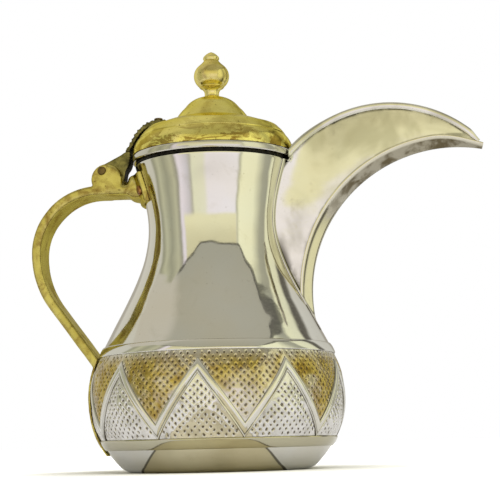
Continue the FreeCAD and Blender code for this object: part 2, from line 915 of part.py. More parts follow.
cheek = spout_cheek()
bead = spout_bead()
strip = root_strip()
nodes = {
    "base_bowl": base_bowl(),
    "belly_band": belly_band(),
    "neck_shell": neck_shell(),
    "base_girdle": girdle(base_seam),
    "shoulder_girdle": girdle(shoulder_seam),
    "spout_left_cheek": cheek,
    "spout_right_cheek": mirrored(cheek),
    "spout_keel": spout_keel(),
    "spout_left_bead": bead,
    "spout_right_bead": mirrored(bead),
    "spout_root_strips": group([strip, mirrored(strip)]),
    "handle": handle(),
    "handle_rivets": group([handle_rivet(1), handle_rivet(-1)]),
    "handle_rivet_roves": group([rivet_rove(1), rivet_rove(-1)]),
    "hinge_pin": hinge_pin(),
    "lid_dome": lid_dome(),
    "lid_band": lid_band(),
    "lid_skirt": lid_skirt(),
    "finial": finial(),
    "finial_washer": finial_washer(),
    "finial_nut": finial_nut(),
    "hinge_strap": hinge_strap(),
    "strap_rivets": group([strap_rivet(spot) for spot in strap_rivet_spots()]),
}

os.makedirs("parts", exist_ok=True)
for name, shape in nodes.items():
    shape.exportStep("parts/" + name + ".step")
    print(name, len(shape.Solids), shape.isValid(), round(shape.Volume, 1))
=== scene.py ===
import math
import random

import bmesh
import bpy
from mathutils import Matrix, Vector, noise


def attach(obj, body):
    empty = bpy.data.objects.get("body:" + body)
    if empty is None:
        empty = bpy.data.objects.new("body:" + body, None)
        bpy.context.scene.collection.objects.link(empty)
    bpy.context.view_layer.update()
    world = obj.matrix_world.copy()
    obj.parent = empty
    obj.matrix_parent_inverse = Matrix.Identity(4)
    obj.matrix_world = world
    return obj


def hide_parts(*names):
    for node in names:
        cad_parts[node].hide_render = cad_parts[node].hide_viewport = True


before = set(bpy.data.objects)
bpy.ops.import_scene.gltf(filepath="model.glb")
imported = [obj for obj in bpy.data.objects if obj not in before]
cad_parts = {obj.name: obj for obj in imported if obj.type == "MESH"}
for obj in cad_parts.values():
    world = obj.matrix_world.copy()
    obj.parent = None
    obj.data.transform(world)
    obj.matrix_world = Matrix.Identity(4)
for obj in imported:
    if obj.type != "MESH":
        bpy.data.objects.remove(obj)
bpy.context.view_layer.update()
scene = bpy.context.scene

# Sizes in millimetres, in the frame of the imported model, and angles in degrees.
# Points closer than weld are merged, or than cad_weld in a copy of a CAD node
MM = 0.001
weld, cad_weld = 0.0005, 0.002
round_steps = 192

# Body: height, radius and lean of the wall at its turning points
wall = 1.2
belly_height, rim_height = 50.0, 205.0
body_knots = [
    (0.0, 61.5, 1.12),
    (belly_height, 83.6, 0.0),
    (84.0, 74.0, -0.52),
    (161.5, 44.6, 0.0),
    (rim_height, 53.2, 0.27),
]
base_seam, shoulder_seam = 18.0, 78.5
girdle_half = 3.25

# Zigzag: its ribs' heights and half width, and the turn of its first valley in radians
triangles, phase = 9, math.radians(7.4)
valley_z, apex_z, rib_half = 25.35, 65.65, 2.85
band_radius = 81.0

# Spout: the rings of its keel and its top edge in the middle plane, with the angles at their ends
keel_x, keel_z, keel_edge = 162.3, 114.3, 104.5
keel_foot, keel_tip = 192.0, 80.0
top_x, top_z, top_radius, bead_width = 119.0, 154.0, 88.0, 4.4
top_start, top_end = 142.6, 44.9
low_start, low_end = 179.6, keel_tip - 1.0
spout_half, spout_narrows, spout_widens = 7.5, 0.11, 0.0767

# Lid, and the radius and height from which the spout leaves it room
lid_radius, lid_bottom, lid_top = 54.8, 207.0, 251.3
lid_room, lid_room_z = 55.9, rim_height - 3.0


# Shapes

def lerp(a, b, share):
    return a + (b - a) * share


def smooth_step(start, end, value):
    # Eases from 0 at start to 1 at end, whichever of them is the larger
    share = min(1.0, max(0.0, (value - start) / (end - start)))
    return share * share * (3.0 - 2.0 * share)


def body_radius(z):
    # The wall's outer face: a cubic curve from one turning point to the next
    for low, high in zip(body_knots, body_knots[1:]):
        if z <= high[0]:
            break
    height = high[0] - low[0]
    t = (z - low[0]) / height
    rise = low[1] + low[2] * height / 3.0
    fall = high[1] - high[2] * height / 3.0
    side = (1 - t) ** 3 * low[1] + 3 * t * (1 - t) ** 2 * rise
    return side + 3 * t * t * (1 - t) * fall + t**3 * high[1]


def body_lean(z):
    step = 0.1
    return (body_radius(z + step) - body_radius(z - step)) / (2.0 * step)


def on_body(turn, z, shift):
    # A point at this height and turn, this far out from the body's wall
    lean = body_lean(z)
    out = shift / math.sqrt(1.0 + lean * lean)
    radius = body_radius(z) + out
    return Vector((radius * math.cos(turn), radius * math.sin(turn), z - lean * out))


def wall_profile(low, high, shift, count):
    points = []
    for index in range(count + 1):
        point = on_body(0.0, lerp(low, high, index / count), shift)
        points.append((point.x, point.z))
    return points


def arc(a, middle, b, count):
    # Points along the circle through three points
    (ax, az), (mx, mz), (bx, bz) = a, middle, b
    cross = 2.0 * (ax * (mz - bz) + mx * (bz - az) + bx * (az - mz))
    sa, sm, sb = ax * ax + az * az, mx * mx + mz * mz, bx * bx + bz * bz
    cx = (sa * (mz - bz) + sm * (bz - az) + sb * (az - mz)) / cross
    cz = (sa * (bx - mx) + sm * (ax - bx) + sb * (mx - ax)) / cross
    radius = math.hypot(ax - cx, az - cz)
    start = math.atan2(az - cz, ax - cx)
    turn = (math.atan2(bz - cz, bx - cx) - start + math.pi) % math.tau - math.pi
    points = []
    for index in range(count + 1):
        angle = start + turn * index / count
        points.append((cx + radius * math.cos(angle), cz + radius * math.sin(angle)))
    return points


def on_ring(x, z, radius, degrees):
    # A point of a ring in the middle plane
    angle = math.radians(degrees)
    return x + radius * math.cos(angle), z + radius * math.sin(angle)


def along(points, share):
    # The point at this share of a list of points, by index
    place = min(max(share, 0.0), 1.0) * (len(points) - 1)
    index = min(int(place), len(points) - 2)
    part = place - index
    return tuple(lerp(a, b, part) for a, b in zip(points[index], points[index + 1]))


def spun(profile, steps=round_steps, closed=True):
    # An outline of radius and height turned about the pot's axis
    bm = bmesh.new()
    verts = [bm.verts.new((radius, 0.0, z)) for radius, z in profile]
    for a, b in zip(verts, verts[1:]):
        bm.edges.new((a, b))
    if closed:
        bm.edges.new((verts[-1], verts[0]))
    bmesh.ops.spin(
        bm, geom=bm.verts[:] + bm.edges[:], cent=(0, 0, 0), axis=(0, 0, 1),
        angle=math.tau, steps=steps, use_merge=True,
    )
    bmesh.ops.remove_doubles(bm, verts=bm.verts, dist=weld)
    bmesh.ops.recalc_face_normals(bm, faces=bm.faces)
    return bm


def strip(columns, rows, place, ring=False, closed=True):
    # A grid bent into a strip, a tube or a ring. place(u, v) gives the point for shares u along and v across
    bm = bmesh.new()
    bmesh.ops.create_grid(bm, x_segments=columns, y_segments=rows, size=0.5)
    for vert in bm.verts:
        vert.co = place(vert.co.x + 0.5, vert.co.y + 0.5)
    bmesh.ops.remove_doubles(bm, verts=bm.verts, dist=weld)
    if closed:
        edges = [edge for edge in bm.edges if edge.is_boundary]
        if ring:
            bmesh.ops.bridge_loops(bm, edges=edges)
        else:
            bmesh.ops.holes_fill(bm, edges=edges, sides=0)
    bmesh.ops.recalc_face_normals(bm, faces=bm.faces)
    return bm


def beaten(bm, amount, low, high):
    # The unevenness of a wall raised by hand, which fades out at the heights low and high
    fade_up, fade_down = 6.0, 12.0
    broad, fine, fine_share = 24.0, 9.0, 0.3
    least_radius = 20.0
    for vert in bm.verts:
        x, y, z = vert.co
        free = smooth_step(low, low + fade_up, z) * smooth_step(high, high - fade_down, z)
        out = noise.noise(vert.co / broad) + fine_share * noise.noise(vert.co / fine)
        scale = 1.0 + amount * free * out / max(math.hypot(x, y), least_radius)
        vert.co = (x * scale, y * scale, z)
    return bm


def soften_points(bm, verts, factor):
    bmesh.ops.smooth_vert(
        bm, verts=verts, factor=factor, use_axis_x=True, use_axis_y=True, use_axis_z=True
    )


def shaded(bm, amount):
    # Keeps amount(point) as the "shade" attribute, which the finish darkens by
    shade = bm.verts.layers.float.new("shade")
    for vert in bm.verts:
        vert[shade] = amount(vert.co)
    return bm


def mesh_object(name, bm):
    mesh = bpy.data.meshes.new(name)
    bm.to_mesh(mesh)
    bm.free()
    piece = bpy.data.objects.new(name, mesh)
    scene.collection.objects.link(piece)
    return piece


def cad_copy(node, voxel, passes):
    # A new skin over a copy of a CAD node, in millimetres
    bm = bmesh.new()
    bm.from_mesh(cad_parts[node].data)
    bmesh.ops.remove_doubles(bm, verts=bm.verts, dist=cad_weld * MM)
    rough = mesh_object("rough_" + node, bm)
    skin = rough.modifiers.new("skin", "REMESH")
    skin.mode = "VOXEL"
    skin.voxel_size = voxel * MM
    soften = rough.modifiers.new("soften", "SMOOTH")
    soften.factor = 0.5
    soften.iterations = passes
    shaped = bpy.data.meshes.new_from_object(
        rough.evaluated_get(bpy.context.evaluated_depsgraph_get())
    )
    bm = bmesh.new()
    bm.from_mesh(shaped)
    bmesh.ops.scale(bm, vec=(1 / MM,) * 3, verts=bm.verts)
    mesh = rough.data
    bpy.data.objects.remove(rough)
    bpy.data.meshes.remove(mesh)
    bpy.data.meshes.remove(shaped)
    bm.normal_update()
    return bm


def keep(node, bm, body, finish, sharp=40.0, name=None):
    # Makes the mesh an object in metres that rides on its body in place of a CAD node
    bmesh.ops.scale(bm, vec=(MM,) * 3, verts=bm.verts)
    piece = mesh_object(name or node + "_piece", bm)
    piece.data.shade_smooth()
    piece.data.set_sharp_from_angle(angle=math.radians(sharp))
    piece.data.materials.append(finish)
    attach(piece, body)
    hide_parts(node)
    return piece


# Finishes

even = (1.0, 1.0, 1.0)
plain_nickel = (0.70, 0.69, 0.655)


def new_finish(name):
    finish = bpy.data.materials.new(name)
    finish.use_nodes = True
    return finish, finish.node_tree, finish.node_tree.nodes["Principled BSDF"]


def set_input(tree, socket, value):
    # Links the socket to another node's output, or gives it a plain value
    if isinstance(value, bpy.types.NodeSocket):
        tree.links.new(value, socket)
    else:
        socket.default_value = value


def add(tree, kind, values=None, **settings):
    node = tree.nodes.new(kind)
    for key, value in settings.items():
        setattr(node, key, value)
    for key, value in (values or {}).items():
        set_input(tree, node.inputs[key], value)
    return node


def connect(tree, shader, **sockets):
    for name, value in sockets.items():
        set_input(tree, shader.inputs[name.replace("_", " ")], value)


def place_of(tree, stretch=even):
    coords = add(tree, "ShaderNodeTexCoord").outputs["Object"]
    if stretch == even:
        return coords
    return add(tree, "ShaderNodeMapping", {"Vector": coords, "Scale": stretch}).outputs["Vector"]


def mottle(tree, scale, detail=3.0, rough=0.55, stretch=even, warp=0.0):
    node = add(tree, "ShaderNodeTexNoise", {
        "Vector": place_of(tree, stretch), "Scale": scale, "Detail": detail,
        "Roughness": rough, "Distortion": warp,
    })
    return node.outputs["Fac"]


def band(tree, value, low, high, out_low=0.0, out_high=1.0):
    # Eases from out_low at low to out_high at high
    node = add(tree, "ShaderNodeMapRange", {
        "Value": value, "From Min": low, "From Max": high, "To Min": out_low, "To Max": out_high,
    }, interpolation_type="SMOOTHSTEP")
    return node.outputs["Result"]


def mix(tree, share, a, b):
    # Two colours mixed. The Mix node has its share in socket 0 and its colours in 6 and 7
    node = add(tree, "ShaderNodeMix", {0: share}, data_type="RGBA")
    for index, colour in ((6, a), (7, b)):
        linked = isinstance(colour, bpy.types.NodeSocket)
        set_input(tree, node.inputs[index], colour if linked else (*colour, 1.0))
    return node.outputs[2]


def maths(tree, operation, a, b=0.0):
    return add(tree, "ShaderNodeMath", {0: a, 1: b}, operation=operation).outputs["Value"]


def relief(tree, height, depth, strength=1.0, under=None):
    # A bump of this depth, on top of the one under it
    values = {"Height": height, "Distance": depth * MM, "Strength": strength}
    if under is not None:
        values["Normal"] = under
    return add(tree, "ShaderNodeBump", values).outputs["Normal"]


def attribute(tree, name):
    return add(tree, "ShaderNodeAttribute", attribute_name=name).outputs["Fac"]


def axis_of(tree, axis):
    return add(tree, "ShaderNodeSeparateXYZ", {"Vector": place_of(tree)}).outputs[axis]


def silver_finish(name, wave, warm, rough, light=plain_nickel, shade_and_grime=None, least=0.5, cloudy=0.0):
    # Old nickel plate: bright, slightly warm, softly uneven, with fine rub marks. The dark colour passed in
    # is painted shade, laid in patches where the mesh's "shade" attribute asks for it; least is its thinnest
    # share there
    cloud_grey, film_brown, speck_brown = (0.42, 0.40, 0.31), (0.50, 0.465, 0.37), (0.30, 0.26, 0.19)
    yellowed = (light[0], 0.974 * light[1], 0.916 * light[2])
    finish, tree, shader = new_finish(name)
    colour = mix(tree, band(tree, mottle(tree, 18.0), 0.35, 0.68), light, yellowed)
    if cloudy:
        cloud = band(tree, mottle(tree, 24.0, rough=0.5, warp=0.7), 0.40, 0.62, 0.0, cloudy)
        colour = mix(tree, cloud, colour, cloud_grey)
    film = band(tree, mottle(tree, 60.0, detail=6.0, rough=0.62, warp=0.4), 0.56, 0.78, 0.0, warm)
    colour = mix(tree, film, colour, film_brown)
    speck = band(tree, mottle(tree, 520.0, detail=2.0, rough=0.5), 0.70, 0.78, 0.0, 0.35)
    colour = mix(tree, speck, colour, speck_brown)
    if shade_and_grime is not None:
        # Painted shade: the dark colour, in patches, where the "shade" attribute asks for it
        patch = band(tree, mottle(tree, 70.0, detail=4.0, rough=0.6, warp=0.4), 0.40, 0.60, least, 1.0)
        colour = mix(tree, maths(tree, "MULTIPLY", patch, attribute(tree, "shade")), colour, shade_and_grime)
    rub = mottle(tree, 260.0, detail=4.0, rough=0.7, stretch=(1.0, 1.0, 3.2))
    dull = band(tree, rub, 0.35, 0.8, rough, rough + 0.09)
    dull = maths(tree, "ADD", dull, maths(tree, "MULTIPLY", film, 0.18))
    swell = relief(tree, mottle(tree, 34.0, detail=1.5, rough=0.4), wave)
    grain = relief(tree, mottle(tree, 900.0, rough=0.6, stretch=(1.0, 1.0, 0.25)), 0.006, 0.7, swell)
    connect(tree, shader, Base_Color=colour, Metallic=1.0, Roughness=dull, Normal=grain)
    return finish


def punched_finish(name):
    # The punched ground of the belly: gilt rubbed away in patches, and painted shade in the pits
    bright, dim = (0.75, 0.73, 0.71), (0.57, 0.55, 0.51)
    gold, deep_gold = (0.51, 0.39, 0.105), (0.32, 0.215, 0.045)
    grime_brown, pit_shade = (0.19, 0.135, 0.07), (0.085, 0.06, 0.035)
    finish, tree, shader = new_finish(name)
    pit, gilt = attribute(tree, "pit"), attribute(tree, "gilt")
    silver = mix(tree, band(tree, mottle(tree, 90.0, detail=4.0), 0.4, 0.7), bright, dim)
    cloud = band(tree, mottle(tree, 110.0, detail=5.0, rough=0.6, warp=0.5), 0.40, 0.66)
    gilding = mix(tree, cloud, gold, deep_gold)
    worn = band(tree, mottle(tree, 55.0, detail=5.0, rough=0.65, warp=0.6), 0.44, 0.70, 1.0, 0.5)
    colour = mix(tree, maths(tree, "MULTIPLY", gilt, worn), silver, gilding)
    shade_and_grime = band(tree, mottle(tree, 240.0, detail=4.0, rough=0.65), 0.52, 0.74, 0.0, 0.4)
    colour = mix(tree, shade_and_grime, colour, grime_brown)
    # Painted shade in the pits
    colour = mix(tree, band(tree, pit, 0.2, 0.9, 0.0, 0.9), colour, pit_shade)
    dull = band(tree, mottle(tree, 300.0), 0.3, 0.75, 0.07, 0.2)
    dull = maths(tree, "ADD", dull, maths(tree, "MULTIPLY", pit, 0.3))
    grain = relief(tree, mottle(tree, 700.0, detail=4.0, rough=0.65), 0.05, 0.8)
    connect(tree, shader, Base_Color=colour, Metallic=1.0, Roughness=dull, Normal=grain)
    return finish


def brass_finish(name, light, deep, stain, stain_share, rough, wave, low_stain=None, stain_from=0.50):
    # Yellow brass with brown tarnish, spots and a rubbed polish, and tinted where it is seen edge on.
    # low_stain is the two heights between which the tarnish thins out upwards, and it adds streaks
    edge_tint = (1.0, 0.95, 0.46, 1.0)
    spot_brown = tuple(0.35 * part for part in stain)
    finish, tree, shader = new_finish(name)
    colour = mix(tree, band(tree, mottle(tree, 45.0, detail=4.0, rough=0.6), 0.36, 0.68), light, deep)
    cloud = mottle(tree, 75.0, detail=6.0, rough=0.66, warp=0.5)
    cloud = band(tree, cloud, stain_from, stain_from + 0.22, 0.0, stain_share)
    if low_stain is not None:
        low, high = low_stain
        near = band(tree, axis_of(tree, "Z"), low * MM, high * MM, 1.0, 0.2)
        cloud = maths(tree, "MULTIPLY", cloud, near)
    colour = mix(tree, cloud, colour, stain)
    if low_stain is not None:
        streak = mottle(tree, 46.0, detail=6.0, rough=0.68, stretch=(1.0, 1.0, 2.2), warp=1.0)
        streak = band(tree, streak, 0.51, 0.535, 0.0, 0.8)
        colour = mix(tree, maths(tree, "MULTIPLY", streak, near), colour, stain)
    spot = band(tree, mottle(tree, 330.0, rough=0.6), 0.64, 0.74, 0.0, 0.75)
    colour = mix(tree, spot, colour, spot_brown)
    rub = mottle(tree, 420.0, detail=4.0, rough=0.7, stretch=(1.0, 1.0, 0.3))
    dull = band(tree, rub, 0.3, 0.8, rough, rough + 0.14)
    dull = maths(tree, "ADD", dull, maths(tree, "MULTIPLY", cloud, 0.2))
    swell = relief(tree, mottle(tree, 60.0, detail=2.0, rough=0.5), wave)
    grain = relief(tree, mottle(tree, 850.0, detail=4.0, rough=0.65), 0.02, 0.8, swell)
    connect(tree, shader, Base_Color=colour, Metallic=1.0, Roughness=dull, Normal=grain)
    connect(tree, shader, Specular_Tint=edge_tint)
    return finish


def antique_finish(name):
    # Cast brass left dark, black in its hollows, and black as painted shade on its faces turned in to the
    # lid
    light, dark, soot_and_shade = (0.25, 0.22, 0.08), (0.09, 0.08, 0.03), (0.012, 0.010, 0.008)
    finish, tree, shader = new_finish(name)
    hollow_and_shade = attribute(tree, "hollow_and_shade")
    colour = mix(tree, band(tree, mottle(tree, 160.0, detail=5.0, rough=0.6), 0.35, 0.68), light, dark)
    colour = mix(tree, band(tree, hollow_and_shade, 0.35, 0.75, 0.0, 0.95), colour, soot_and_shade)
    dull = band(tree, mottle(tree, 380.0, detail=4.0), 0.3, 0.75, 0.22, 0.46)
    dull = maths(tree, "ADD", dull, maths(tree, "MULTIPLY", hollow_and_shade, 0.3))
    grain = relief(tree, mottle(tree, 650.0, detail=5.0, rough=0.7), 0.09, 0.9)
    connect(tree, shader, Base_Color=colour, Metallic=1.0, Roughness=dull, Normal=grain)
    return finish


def plain_metal(name, light, dark, rough):
    # Metal of the small fittings, mottled and finely grained
    scale = 220.0
    finish, tree, shader = new_finish(name)
    colour = mix(tree, band(tree, mottle(tree, scale, detail=5.0, rough=0.6), 0.34, 0.7), light, dark)
    dull = band(tree, mottle(tree, 2.0 * scale, detail=4.0), 0.3, 0.75, rough, rough + 0.18)
    grain = relief(tree, mottle(tree, 3.0 * scale, detail=4.0, rough=0.65), 0.04, 0.8)
    connect(tree, shader, Base_Color=colour, Metallic=1.0, Roughness=dull, Normal=grain)
    return finish


body_silver = silver_finish("body_silver", wave=0.22, warm=0.35, rough=0.045)
# The dark colour given to the cheek, keel and rib silvers is painted shade
cheek_silver = silver_finish(
    "cheek_silver", wave=0.5, warm=0.75, rough=0.08, light=(0.73, 0.715, 0.655),
    shade_and_grime=(0.11, 0.10, 0.075), least=0.25, cloudy=0.65,
)
keel_silver = silver_finish(
    "keel_silver", wave=0.6, warm=0.6, rough=0.1, light=(0.68, 0.65, 0.55),
    shade_and_grime=(0.13, 0.105, 0.06), least=0.55,
)
trim_silver = silver_finish("trim_silver", wave=0.3, warm=0.6, rough=0.09, light=(0.62, 0.605, 0.56))
rib_silver = silver_finish("rib_silver", wave=0.35, warm=0.5, rough=0.09, shade_and_grime=(0.10, 0.085, 0.055))
girdle_silver = silver_finish("girdle_silver", wave=0.4, warm=0.7, rough=0.1, light=(0.48, 0.455, 0.345))
punched_metal = punched_finish("punched_metal")
handle_brass = brass_finish(
    "handle_brass", light=(0.59, 0.51, 0.165), deep=(0.46, 0.385, 0.105), stain=(0.24, 0.15, 0.035),
    stain_share=0.85, rough=0.17, wave=0.35, stain_from=0.43,
)
lid_brass = brass_finish(
    "lid_brass", light=(0.83, 0.74, 0.24), deep=(0.68, 0.59, 0.16), stain=(0.28, 0.175, 0.03),
    stain_share=1.0, rough=0.15, wave=0.2, low_stain=(212.0, 230.0),
)
finial_brass = brass_finish(
    "finial_brass", light=(0.84, 0.73, 0.31), deep=(0.60, 0.50, 0.17), stain=(0.22, 0.14, 0.03),
    stain_share=0.55, rough=0.16, wave=0.15,
)
strap_brass = antique_finish("strap_brass")
pin_brass = plain_metal("pin_brass", (0.18, 0.125, 0.05), (0.10, 0.07, 0.03), rough=0.3)
rivet_copper = plain_metal("rivet_copper", (0.42, 0.20, 0.075), (0.24, 0.10, 0.035), rough=0.28)
# Near black as painted shade, for the gap under the lid
skirt_shade_black = plain_metal("skirt_shade_black", (0.030, 0.027, 0.023), (0.012, 0.011, 0.010), rough=0.45)


# Body of the pot

def build_base():
    # The flat foot, the round at its edge, the wall up to the seam, and the same way back inside
    foot_round, inside_low, inside_floor = 3.65, 2.4, 1.6
    foot = [(0.0, 0.3), (30.0, 0.2), (50.0, 0.0)]
    foot += arc((55.5, 0.0), (61.0, 0.95), (65.45, foot_round), 10)[:-1]
    outer = wall_profile(foot_round, base_seam, 0.0, 24)
    inner = [(radius, max(z, inside_floor)) for radius, z in wall_profile(inside_low, base_seam, -wall, 24)]
    bm = spun(foot + outer + inner[::-1] + [(0.0, inside_floor)], closed=False)
    beaten(bm, amount=0.22, low=0.0, high=base_seam + 6.0)
    keep("base_bowl", bm, "pot", body_silver)


def build_girdle(node, seam, finish):
    # The ring's section is the same above and below the seam: rise, and how far it stands out
    lower = [(-girdle_half, 0.12), (-3.2, 0.5), (-2.9, 0.78), (-2.3, 0.95), (-1.2, 1.08), (0.0, 1.12)]
    upper = [(-rise, proud) for rise, proud in lower[-2::-1]]
    points = []
    for rise, proud in lower + upper:
        point = on_body(0.0, seam + rise, proud)
        points.append((point.x, point.z))
    bm = beaten(spun(points), amount=0.2, low=0.0, high=rim_height)
    keep(node, bm, "pot", finish)


# A rib leans, so straight up the wall it takes this much more than its width
leg_run = math.pi / triangles * band_radius
rib_stretch = math.hypot(leg_run, apex_z - valley_z) / leg_run


def zigzag_z(turn):
    # Height of the ribs' middle line
    share = ((turn - phase) / math.tau * triangles) % 1.0
    return lerp(valley_z, apex_z, 1.0 - abs(2.0 * share - 1.0))


def rib_distance(turn, z):
    # How far a point lies over the ribs' middle line, square to the rib
    return (z - zigzag_z(turn)) / rib_stretch


def turn_of(point):
    return math.atan2(point.y, point.x)


def build_ribs():
    # Across the rib: offset, height and how much painted shade lies there, darkest at its edges and in its
    # groove
    section = [
        (-rib_half, -0.25, 1.0), (-2.8, 0.25, 0.8), (-2.6, 0.62, 0.2), (-2.25, 0.8, 0.0),
        (-1.9, 0.7, 0.1), (-1.62, 0.42, 0.7), (-1.4, 0.36, 0.7), (-1.15, 0.62, 0.1),
        (-0.7, 0.92, 0.0), (0.0, 1.1, 0.0), (0.8, 1.15, 0.0), (1.5, 1.05, 0.0),
        (2.1, 0.85, 0.0), (2.55, 0.55, 0.2), (2.8, 0.2, 0.8), (rib_half, -0.25, 1.0),
    ]
    leg_steps = 16

    def place(u, v):
        turn = phase + u * math.tau
        across, proud, _ = along(section, v)
        return on_body(turn, zigzag_z(turn) + across * rib_stretch, proud)

    # Painted shade, from the section's last column at the nearest point
    def shade_and_grime(point):
        across = rib_distance(turn_of(point), point.z)
        return min(section, key=lambda part: abs(part[0] - across))[2]

    bm = shaded(strip(2 * triangles * leg_steps, len(section) - 1, place, ring=True), shade_and_grime)
    keep("belly_band", bm, "pot", rib_silver, sharp=42.0, name="belly_ribs")


def pillow(turn, z):
    # How far the ground swells between the ribs and the two rings
    under_ribs, over_ribs, reach = 0.9, 0.55, 10.0
    off = rib_distance(turn, z)
    room = min(abs(off) - rib_half, z - base_seam - girdle_half, shoulder_seam - girdle_half - z)
    return (under_ribs if off < 0 else over_ribs) * smooth_step(0.0, reach, room)


def diamond_lattice(chance):
    # The band's outer face as a lattice of diamonds, none quite in its place
    columns, rows = triangles * 12, 12
    slip, slip_radius, uneven = 0.45, 80.0, 0.12
    bm = bmesh.new()
    bmesh.ops.create_grid(bm, x_segments=columns, y_segments=rows, size=0.5)
    for vert in bm.verts:
        turn = phase + (vert.co.x + 0.5) * math.tau
        vert.co = on_body(turn, lerp(base_seam, shoulder_seam, vert.co.y + 0.5), 0.0)
    bmesh.ops.remove_doubles(bm, verts=bm.verts, dist=weld)
    bmesh.ops.recalc_face_normals(bm, faces=bm.faces)
    straight = [edge for edge in bm.edges if not edge.is_boundary]
    bmesh.ops.poke(bm, faces=bm.faces[:])
    bmesh.ops.dissolve_edges(bm, edges=straight, use_verts=False, use_face_split=False)
    for vert in bm.verts:
        if vert.is_boundary:
            continue
        turn = turn_of(vert.co) + chance.uniform(-slip, slip) / slip_radius
        z = vert.co.z + chance.uniform(-slip, slip)
        vert.co = on_body(turn, z, pillow(turn, z) + chance.uniform(-uneven, uneven))
    return bm


def add_inner_face(bm):
    # Carries the band's lower edge up inside it, to its upper edge
    heights, edge_weld = (base_seam, 34.0, belly_height, 64.0, shoulder_seam), 0.01
    levels = [(z, -wall) for z in heights] + [(shoulder_seam, 0.0)]
    front = [edge for edge in bm.edges if edge.is_boundary and edge.verts[0].co.z < belly_height]
    for z, shift in levels:
        made = bmesh.ops.extrude_edge_only(bm, edges=front)["geom"]
        front = [part for part in made if isinstance(part, bmesh.types.BMEdge)]
        for vert in {vert for edge in front for vert in edge.verts}:
            vert.co = on_body(turn_of(vert.co), z, shift)
    bmesh.ops.remove_doubles(bm, verts=bm.verts, dist=edge_weld)
    bmesh.ops.recalc_face_normals(bm, faces=bm.faces)


def punch_places(bm, chance):
    # The outer diamonds that are clear of the ribs and rings, but for a few that the punch missed
    low, high, rib_gap, missed = 22.2, 74.4, 0.6, 0.05
    places = []
    for face in bm.faces:
        middle = face.calc_center_median()
        outward = face.normal.dot(Vector((middle.x, middle.y, 0.0)))
        clear = abs(rib_distance(turn_of(middle), middle.z)) > rib_half + rib_gap
        inside = outward > 0 and len(face.verts) == 4 and low < middle.z < high
        if inside and clear and chance.random() > missed:
            places.append(face)
    return places


def gild(bm, gilt):
    # Gilt lies over the ribs, less of it towards the shoulder and where hands have rubbed it
    rubbed, rubbed_reach, least = Vector((22.0, -79.0, 43.0)), (6.0, 24.0), 0.35
    rib_fade, shoulder_fade = (1.5, 3.5), (79.0, 67.0)
    for vert in bm.verts:
        over = smooth_step(*rib_fade, rib_distance(turn_of(vert.co), vert.co.z))
        kept = lerp(least, 1.0, smooth_step(*rubbed_reach, (vert.co - rubbed).length))
        vert[gilt] = over * kept * smooth_step(*shoulder_fade, vert.co.z)


def punch(bm, places, pit, chance):
    # A dish with a deeper pit in it, each pit a little off in size, place and the darkness of its painted
    # shade
    dish, hole = (1.0, 0.26), (0.3, 0.45)
    sizes, off_place, darkness = (0.55, 1.1), (-0.3, 0.3), (0.65, 1.0)
    for width, depth in (dish, hole):
        bmesh.ops.inset_individual(bm, faces=places, thickness=width, depth=-depth)
    for face in places:
        middle = face.calc_center_median()
        grow = chance.uniform(*sizes)
        stray = Vector([chance.uniform(*off_place) for _ in range(3)])
        for vert in face.verts:
            vert.co = middle + stray + (vert.co - middle) * grow
            vert[pit] = chance.uniform(*darkness)


def build_ground():
    chance = random.Random(11)
    bm = diamond_lattice(chance)
    add_inner_face(bm)
    places = punch_places(bm, chance)
    pit = bm.verts.layers.float.new("pit")
    gilt = bm.verts.layers.float.new("gilt")
    gild(bm, gilt)
    punch(bm, places, pit, chance)
    ground = keep("belly_band", bm, "pot", punched_metal, sharp=180.0, name="belly_ground")
    round_off = ground.modifiers.new("round_off", "SUBSURF")
    round_off.levels = round_off.render_levels = 1


def cut_pouring_slot(bm):
    # The slot behind the spout, which widens upwards, with its edges closed
    low, high = 128.0, 193.0
    half_width, widens, widens_from = 2.2, 0.045, 60.0
    slot = []
    for face in bm.faces:
        middle = face.calc_center_median()
        half = widens * (middle.z - widens_from) + half_width
        if middle.x > 0 and low < middle.z < high and abs(middle.y) < half:
            slot.append(face)
    bmesh.ops.delete(bm, geom=slot, context="FACES")
    edges = [edge for edge in bm.edges if edge.is_boundary]
    bmesh.ops.bridge_loops(bm, edges=edges)
    bmesh.ops.recalc_face_normals(bm, faces=bm.faces)


def build_neck():
    # The wall's two faces, with a rounded lip between them
    top, lip, rows = rim_height - 1.0, rim_height - 0.5, 84
    outer = wall_profile(shoulder_seam, top, 0.0, rows)
    inner = wall_profile(shoulder_seam, top, -wall, rows)
    outside, inside = outer[-1][0], inner[-1][0]
    rim = [(outside - 0.1, lip - 0.12), (outside - 0.4, lip)]
    rim += [(inside + 0.4, lip), (inside + 0.1, lip - 0.12)]
    bm = spun(outer + rim + inner[::-1])
    cut_pouring_slot(bm)
    beaten(bm, amount=0.24, low=shoulder_seam, high=rim_height)
    keep("neck_shell", bm, "pot", body_silver, name="neck_piece")


# Spout

def cheek_width(x, z):
    # From the middle plane to a cheek's outer face
    return spout_half - spout_narrows * x + spout_widens * z


def root_point(z, extra=0.0):
    # Where the cheek's outer face meets the neck, or extra further round it
    seat, lid_gap = 0.15, 0.1
    radius = body_radius(min(z, rim_height)) + seat
    radius = lerp(radius, lid_room + lid_gap, smooth_step(lid_room_z, rim_height + 1.0, z))
    x = radius
    for _ in range(4):
        y = cheek_width(x, z) + extra
        x = math.sqrt(max(radius * radius - y * y, 1.0))
    return Vector((x, y, z))


def clear_of_body(point, more=0.0):
    # Moves a point out to the neck's wall, or out of the lid's room and more
    seat = 0.12
    z = point.z
    least = body_radius(min(z, rim_height)) + seat
    least = lerp(least, lid_room + more, smooth_step(lid_room_z, rim_height, z))
    reach = math.hypot(point.x, point.y)
    if reach < least:
        point = Vector((point.x * least / reach, point.y * least / reach, z))
    return point


